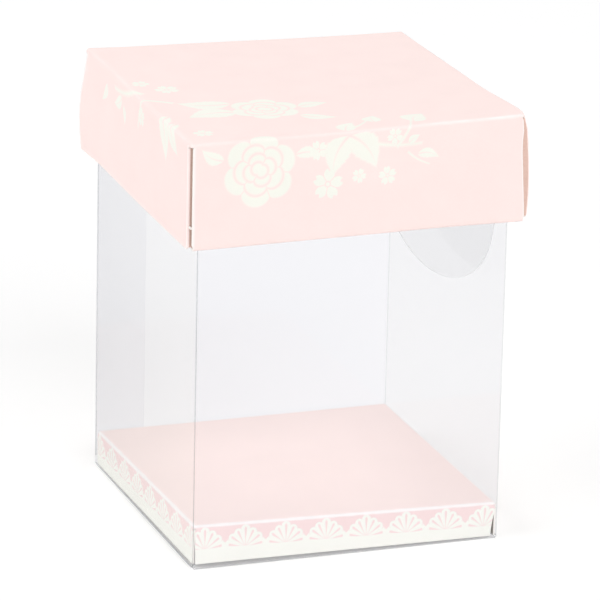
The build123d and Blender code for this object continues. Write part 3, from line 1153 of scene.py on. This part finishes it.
    def bends(self) -> list[tuple[tuple[float, ...], tuple[float, ...], float]]:
        """Lists where the lid is bent out of true; a push acts on the card as the ones before left it.

        Returns:
            Place, move and reach of each push, in order and in millimetres.
        """
        half, top, rim = self.half, self.top, self.rim
        single, double = self.single_end, self.double_end
        return [
            ((half, -single, rim), (0.8, 0, 0), 18),
            ((half, -single, 96), (2.45, 0, 0), 30),
            ((-half, half, top), (0.85, 0, 0.9), 60),
            ((half, -half, top), (-0.8, 0, 0.8), 60),
            ((half, half, top), (-0.4, -1.1, 0), 50),
            ((-half, single, rim), (-1.4, 0, 1.5), 40),
            ((-half, single, 96), (-1.4, 0, 0), 19),
            ((-half, -single, rim), (0, 0, -0.4), 40),
            ((-double, -half, rim), (0, 0, -0.4), 40),
            ((double, -half, rim), (1.2, 0, -0.4), 28),
            ((half + 0.7, -half, top + 0.8), (-0.95, 0, 0.25), 5),
            ((double, -half, 104), (-0.4, 0, 0), 8),
            ((6, -half, 94), (0, -0.35, 0), 34),
            ((0, half, 94), (0, 0.4, 0), 34),
        ]

    def build(self, finishes: list[bpy.types.Material]) -> bpy.types.Object:
        """Folds the lid, lays its print out, eases it out of true and gives it thickness.

        Args:
            finishes: face, cut edge, back, and the tabs' darker brownish finish, which paints the shade
                inside the slits.
        """
        piece = self.start()
        for side in Side:
            if side in (Side.FRONT, Side.BACK):
                self.double_wall(piece, side)
            else:
                self.single_wall(piece, side)
        self.corners(piece)
        bpy.ops.mesh.select_all(action="SELECT")
        bpy.ops.mesh.remove_doubles(threshold=0.01 * MM)
        bpy.ops.mesh.normals_make_consistent(inside=False)
        bpy.ops.object.mode_set(mode="OBJECT")
        self.flatten(piece, self.layout)
        # The tabs get the darker brownish finish, which paints the shade deep inside the slits.
        for face in piece.data.polygons:
            inner = abs(abs(face.center.y) / MM - (self.half - 2 * self.roll)) < 0.02
            face.material_index = 3 if self.on_tab(face.center / MM) and not inner else 0
        bpy.ops.object.mode_set(mode="EDIT")
        for near, move, reach in self.bends():
            self.push(piece, Vector(near), Vector(move), reach)
        bpy.ops.object.mode_set(mode="OBJECT")
        self.thicken(piece, finishes)
        nodes = ["lid_top_panel"]
        nodes += [f"lid_{side.name.lower()}_wall" for side in Side]
        nodes += ["lid_front_inner_wall", "lid_back_inner_wall"]
        nodes += [f"lid_{corner}_tab" for corner in ("front_left", "front_right", "back_left", "back_right")]
        self.join(piece, nodes)
        self.nick(finishes[1])
        return piece


@dataclass
class BaseInsert(FoldedBoard):
    """The upside-down tray in the bottom of the box: a floor and four skirts with tapered ends."""

    name: str = "base_blank"
    body: str = "base_insert"
    slot: str = "base_card"
    panel: float = 38.85
    depth: float = 38.4345
    shift: float = -0.4155
    top: float = 9.2
    rim: float = 0.5
    front_end: float = 39.25
    side_end: float = 38.9
    taper: float = 2.0
    lift: float = 2.0
    lift_reach: float = 80.0
    settle: float = 0.4
    cut_back: float = 0.8

    def layout(self, place: Vector) -> tuple[float, float]:
        """Gives a place on a skirt by its run along the skirt and its height above the rim.

        Args:
            place: in millimetres.

        Returns:
            Run and height; on the floor the height goes on growing inward.
        """
        crease = self.top - self.bend
        if place.z > self.top - 1e-4:
            inward = min(self.edge(side) - place.dot(side.outward) for side in Side)
            return place.x, crease - self.rim + self.bend * math.pi / 2 + inward
        side = max(Side, key=lambda side: place.dot(side.outward) - self.edge(side))
        run = place.x if side in (Side.FRONT, Side.BACK) else place.y - self.shift
        if place.z <= crease:
            return run, place.z - self.rim
        out = place.dot(side.outward) - self.edge(side)
        turn = math.atan2(place.z - crease, max(out, 0.0))
        return run, crease - self.rim + self.bend * turn

    def lower_skirts(self, piece: bpy.types.Object) -> None:
        """Draws the lower edges of the lifted skirts down towards the film again.

        Args:
            piece: the piece in edit mode.
        """
        corner = Vector((-self.panel, -self.edge(Side.FRONT)))

        def is_foot(place: Vector) -> bool:
            """Tells the lower edge from the rows above it."""
            away = (place.xy / MM - corner).length / self.lift_reach
            return place.z / MM < self.rim + self.lift * max(1 - away, 0.0) + 0.5

        select(piece, Pick.VERT, is_foot)
        bpy.ops.transform.resize(value=(1, 1, self.settle), center_override=(0, 0, self.rim * MM))

    def build(self, finishes: list[bpy.types.Material]) -> bpy.types.Object:
        """Folds the insert, lays its border out and lifts its front left corner a little.

        Args:
            finishes: face, cut edge and back.

        Returns:
            The finished piece.
        """
        piece = self.start()
        drop = self.top - self.bend - self.rim
        loss = drop * math.tan(math.radians(self.taper))
        for side in Side:
            level = side in (Side.FRONT, Side.BACK)
            start = self.panel if level else self.depth
            end = self.front_end if level else self.side_end
            self.fold(piece, side)
            self.drop(side, 0.4, start, end, 1)
            self.drop(side, drop - 0.4, end, end - loss, 5)
        self.corners(piece)
        bpy.ops.mesh.select_all(action="SELECT")
        bpy.ops.mesh.remove_doubles(threshold=0.01 * MM)
        bpy.ops.mesh.normals_make_consistent(inside=False)
        bpy.ops.object.mode_set(mode="OBJECT")
        self.flatten(piece, self.layout)
        bpy.ops.object.mode_set(mode="EDIT")
        end = Vector((self.front_end - loss, -self.edge(Side.FRONT) - self.bend, self.rim))
        self.push(piece, end, Vector((-self.cut_back, 0, 0)), 8)
        corner = Vector((-self.panel, -self.edge(Side.FRONT), self.top))
        self.push(piece, corner, Vector((0, 0, self.lift)), self.lift_reach, Ease.EVEN)
        self.lower_skirts(piece)
        self.push(piece, Vector((4, 6, self.top)), Vector((0, 0, -0.3)), 34)
        bpy.ops.object.mode_set(mode="OBJECT")
        self.thicken(piece, finishes)
        nodes = ["base_floor"] + [f"base_{side.name.lower()}_skirt" for side in Side]
        self.join(piece, nodes)
        return piece


@dataclass
class ClearBox:
    """The film box: its walls, seam, top flaps and bottom keep the CAD's shapes."""

    walls: tuple[str, ...] = (
        "clear_front_wall",
        "clear_right_wall",
        "clear_back_wall",
        "clear_left_wall",
        "clear_glue_flap",
        "bottom_tuck_flap",
    )
    sharp: tuple[str, ...] = ("clear_left_wall", "clear_glue_flap")
    # Height below which the film's cut edges take the darker finish that paints the contact shade at the
    # table.
    painted_shade_foot: float = 0.8
    hanging: tuple[str, ...] = ("clear_right_top_flap",)
    lying: tuple[str, ...] = (
        "clear_left_top_flap",
        "bottom_panel",
        "bottom_left_dust_flap",
        "bottom_right_dust_flap",
    )

    def is_edge(self, name: str, normal: Vector) -> bool:
        """Tells the film's cut edge from its faces.

        Args:
            name: the CAD node.
            normal: of a face.

        Returns:
            True for a cut edge.
        """
        if name in self.lying:
            return abs(normal.z) < 0.5
        if name in self.hanging:
            return abs(normal.x) < 0.5
        return abs(normal.z) > 0.7

    def is_crease(self, name: str, normal: Vector) -> bool:
        """Tells the middle of a wall's corner fold from the rest of it.

        Args:
            name: the CAD node.
            normal: of a face.

        Returns:
            True along the scored line.
        """
        return name in self.walls and min(abs(normal.x), abs(normal.y)) > 0.55

    def dress(
        self, film: bpy.types.Material, edges: list[bpy.types.Material], creases: list[bpy.types.Material]
    ) -> None:
        """Gives every film node its clear finish, and its cut edges and folds theirs.

        Args:
            film: the finish of the faces.
            edges: the finish of the cut edges, and a darker one for those that lie on the table, which
                paints the contact shade under the box.
            creases: the finish of a sharp fold and of a soft one.
        """
        for name in self.walls + self.hanging + self.lying:
            node = bpy.data.objects[name]
            node.data.materials.clear()
            for finish in (film, edges[0], creases[0] if name in self.sharp else creases[1], edges[1]):
                node.data.materials.append(finish)
            # Cut edges close to the table get the darker finish, which paints the contact shade under the
            # box.
            for face in node.data.polygons:
                face.material_index = int(self.is_edge(name, face.normal))
                if self.is_crease(name, face.normal):
                    face.material_index = 2
                elif face.material_index == 1 and face.center.z < self.painted_shade_foot * MM:
                    face.material_index = 3
            # Film this clear throws no shadow, and light that bounces inside the box passes it.
            node.visible_shadow = False
            node.visible_diffuse = False
            log.info("%s: %s", name, film.name)


@dataclass
class Studio:
    """A white table and room with soft light, and the camera at the photograph's place."""

    eye: tuple[float, float, float] = (-409.807, -1132.430, 444.127)
    right: tuple[float, float, float] = (0.94219329, -0.3343946, 0.0212617)
    up: tuple[float, float, float] = (0.08424337, 0.2978254, 0.95089594)
    lens: float = 303.79
    room: float = 0.30
    shade: float = 0.72
    glow: float = 1.31
    table: float = 6.0
    table_gap: float = 0.05
    table_top: str = "FAFAFA"

    def camera(self) -> None:
        """Puts the camera where the photograph was taken from."""
        data = bpy.data.cameras.new("camera")
        data.lens = self.lens
        data.sensor_width = 36.0
        data.clip_end = 50.0
        eye = bpy.data.objects.new("camera", data)
        bpy.context.scene.collection.objects.link(eye)
        right, up = Vector(self.right), Vector(self.up)
        turn = Matrix((right, up, right.cross(up))).transposed().to_4x4()
        eye.matrix_world = Matrix.Translation(Vector(self.eye) * MM) @ turn
        bpy.context.scene.camera = eye

    def white_rays(self, tree: bpy.types.NodeTree) -> bpy.types.NodeSocket:
        """Picks out the rays that should see a white room.

        Args:
            tree: a node tree.

        Returns:
            1 for rays from the camera, from gloss and through glass.
        """
        seen = wire(tree, "LightPath", {}, out="Is Camera Ray")
        gloss = wire(tree, "LightPath", {}, out="Is Glossy Ray")
        glass = wire(tree, "LightPath", {}, out="Is Transmission Ray")
        both = wire(tree, "Math", {0: gloss, 1: glass}, operation="MAXIMUM")
        return wire(tree, "Math", {0: seen, 1: both}, operation="MAXIMUM")

    def world(self) -> None:
        """Lights the room evenly, and shows it white."""
        world = bpy.data.worlds.new("studio")
        world.use_nodes = True
        tree = world.node_tree
        tree.nodes.clear()
        white = self.white_rays(tree)
        level = wire(tree, "MapRange", {0: white, 3: self.room, 4: 1.0})
        light = wire(tree, "Background", {"Color": linear("FFFFFF"), "Strength": level})
        wire(tree, "OutputWorld", {"Surface": light}, out=slice(0, 0))
        bpy.context.scene.world = world

    def floor(self) -> None:
        """Lays a white table that keeps the object's shadow."""
        bpy.ops.object.select_all(action="DESELECT")
        bpy.ops.mesh.primitive_plane_add(size=self.table, location=(0, 0, -self.table_gap * MM))
        table = bpy.context.object
        table.name = "table"
        material, tree = new_material("white_table")
        matt = wire(tree, "BsdfDiffuse", {"Color": linear(self.table_top)})
        glow = wire(tree, "Emission", {"Color": linear("FFFFFF"), "Strength": self.glow})
        share = wire(tree, "MapRange", {0: self.white_rays(tree), 3: 0.0, 4: 1 - self.shade})
        both = wire(tree, "MixShader", {0: share, 1: matt, 2: glow})
        wire(tree, "OutputMaterial", {"Surface": both}, out=slice(0, 0))
        table.data.materials.append(material)

    def lamp(self, name: str, place: tuple[float, float, float], size: float, power: float) -> None:
        """Hangs one soft lamp that points at the box.

        Args:
            name: the lamp's name.
            place: in metres.
            size: its width in metres.
            power: in watts.
        """
        data = bpy.data.lights.new(name, "AREA")
        data.shape = "SQUARE"
        data.size = size
        data.energy = power
        lamp = bpy.data.objects.new(name, data)
        bpy.context.scene.collection.objects.link(lamp)
        lamp.location = place
        aim = Vector((0, 0, 0.06)) - Vector(place)
        lamp.rotation_euler = aim.to_track_quat("-Z", "Y").to_euler()

    def build(self) -> None:
        """Sets up the room, the lamps and the camera."""
        bpy.context.scene.view_settings.view_transform = "Standard"
        self.camera()
        self.world()
        self.floor()
        self.lamp("front", (0.24, -1.70, 1.17), 1.3, 19.6)
        self.lamp("left", (-1.71, 0.10, 1.17), 1.3, 20.8)
        self.lamp("right", (1.70, -0.20, 1.17), 1.3, 11.0)
        self.lamp("back", (0.10, 1.72, 1.17), 1.3, 8.0)


def main() -> None:
    """Builds the box's looks in order."""
    logging.basicConfig(level=logging.INFO, format="%(name)s: %(message)s")
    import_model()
    Studio().build()
    edge = PlainBoard("cut_boxboard_edge", "FBF8F4", "F3ECE6").material()
    back = PlainBoard("bare_boxboard_back", "E8E0D6", "DCD2C6").material()
    # A darker brownish copy of the board for the tabs: painted shade inside the slits between the walls.
    tab = PlainBoard("unprinted_boxboard_tab", "E0C0B4", "D9B5A8").material()
    CardLid().build([PrintedLidBoard().material(), edge, back, tab])
    BaseInsert().build([LaceBoard().material(), edge, back])
    sharp = CreasedFilm("sharp_creased_polyester", "ECEDEE", "E0E1E3").material()
    soft = CreasedFilm("soft_creased_polyester", "F6F7F7", "F0F1F1").material()
    # A darker grey copy of the cut edge for the film's foot: painted contact shade where the box meets the
    # table.
    painted_shade_foot = FilmEdge("rubbed_polyester_edge", "DCDDDF", "BEC0C3", "E2E3E5").material()
    ClearBox().dress(ClearFilm().material(), [FilmEdge().material(), painted_shade_foot], [sharp, soft])


if __name__ == "__main__":
    main()
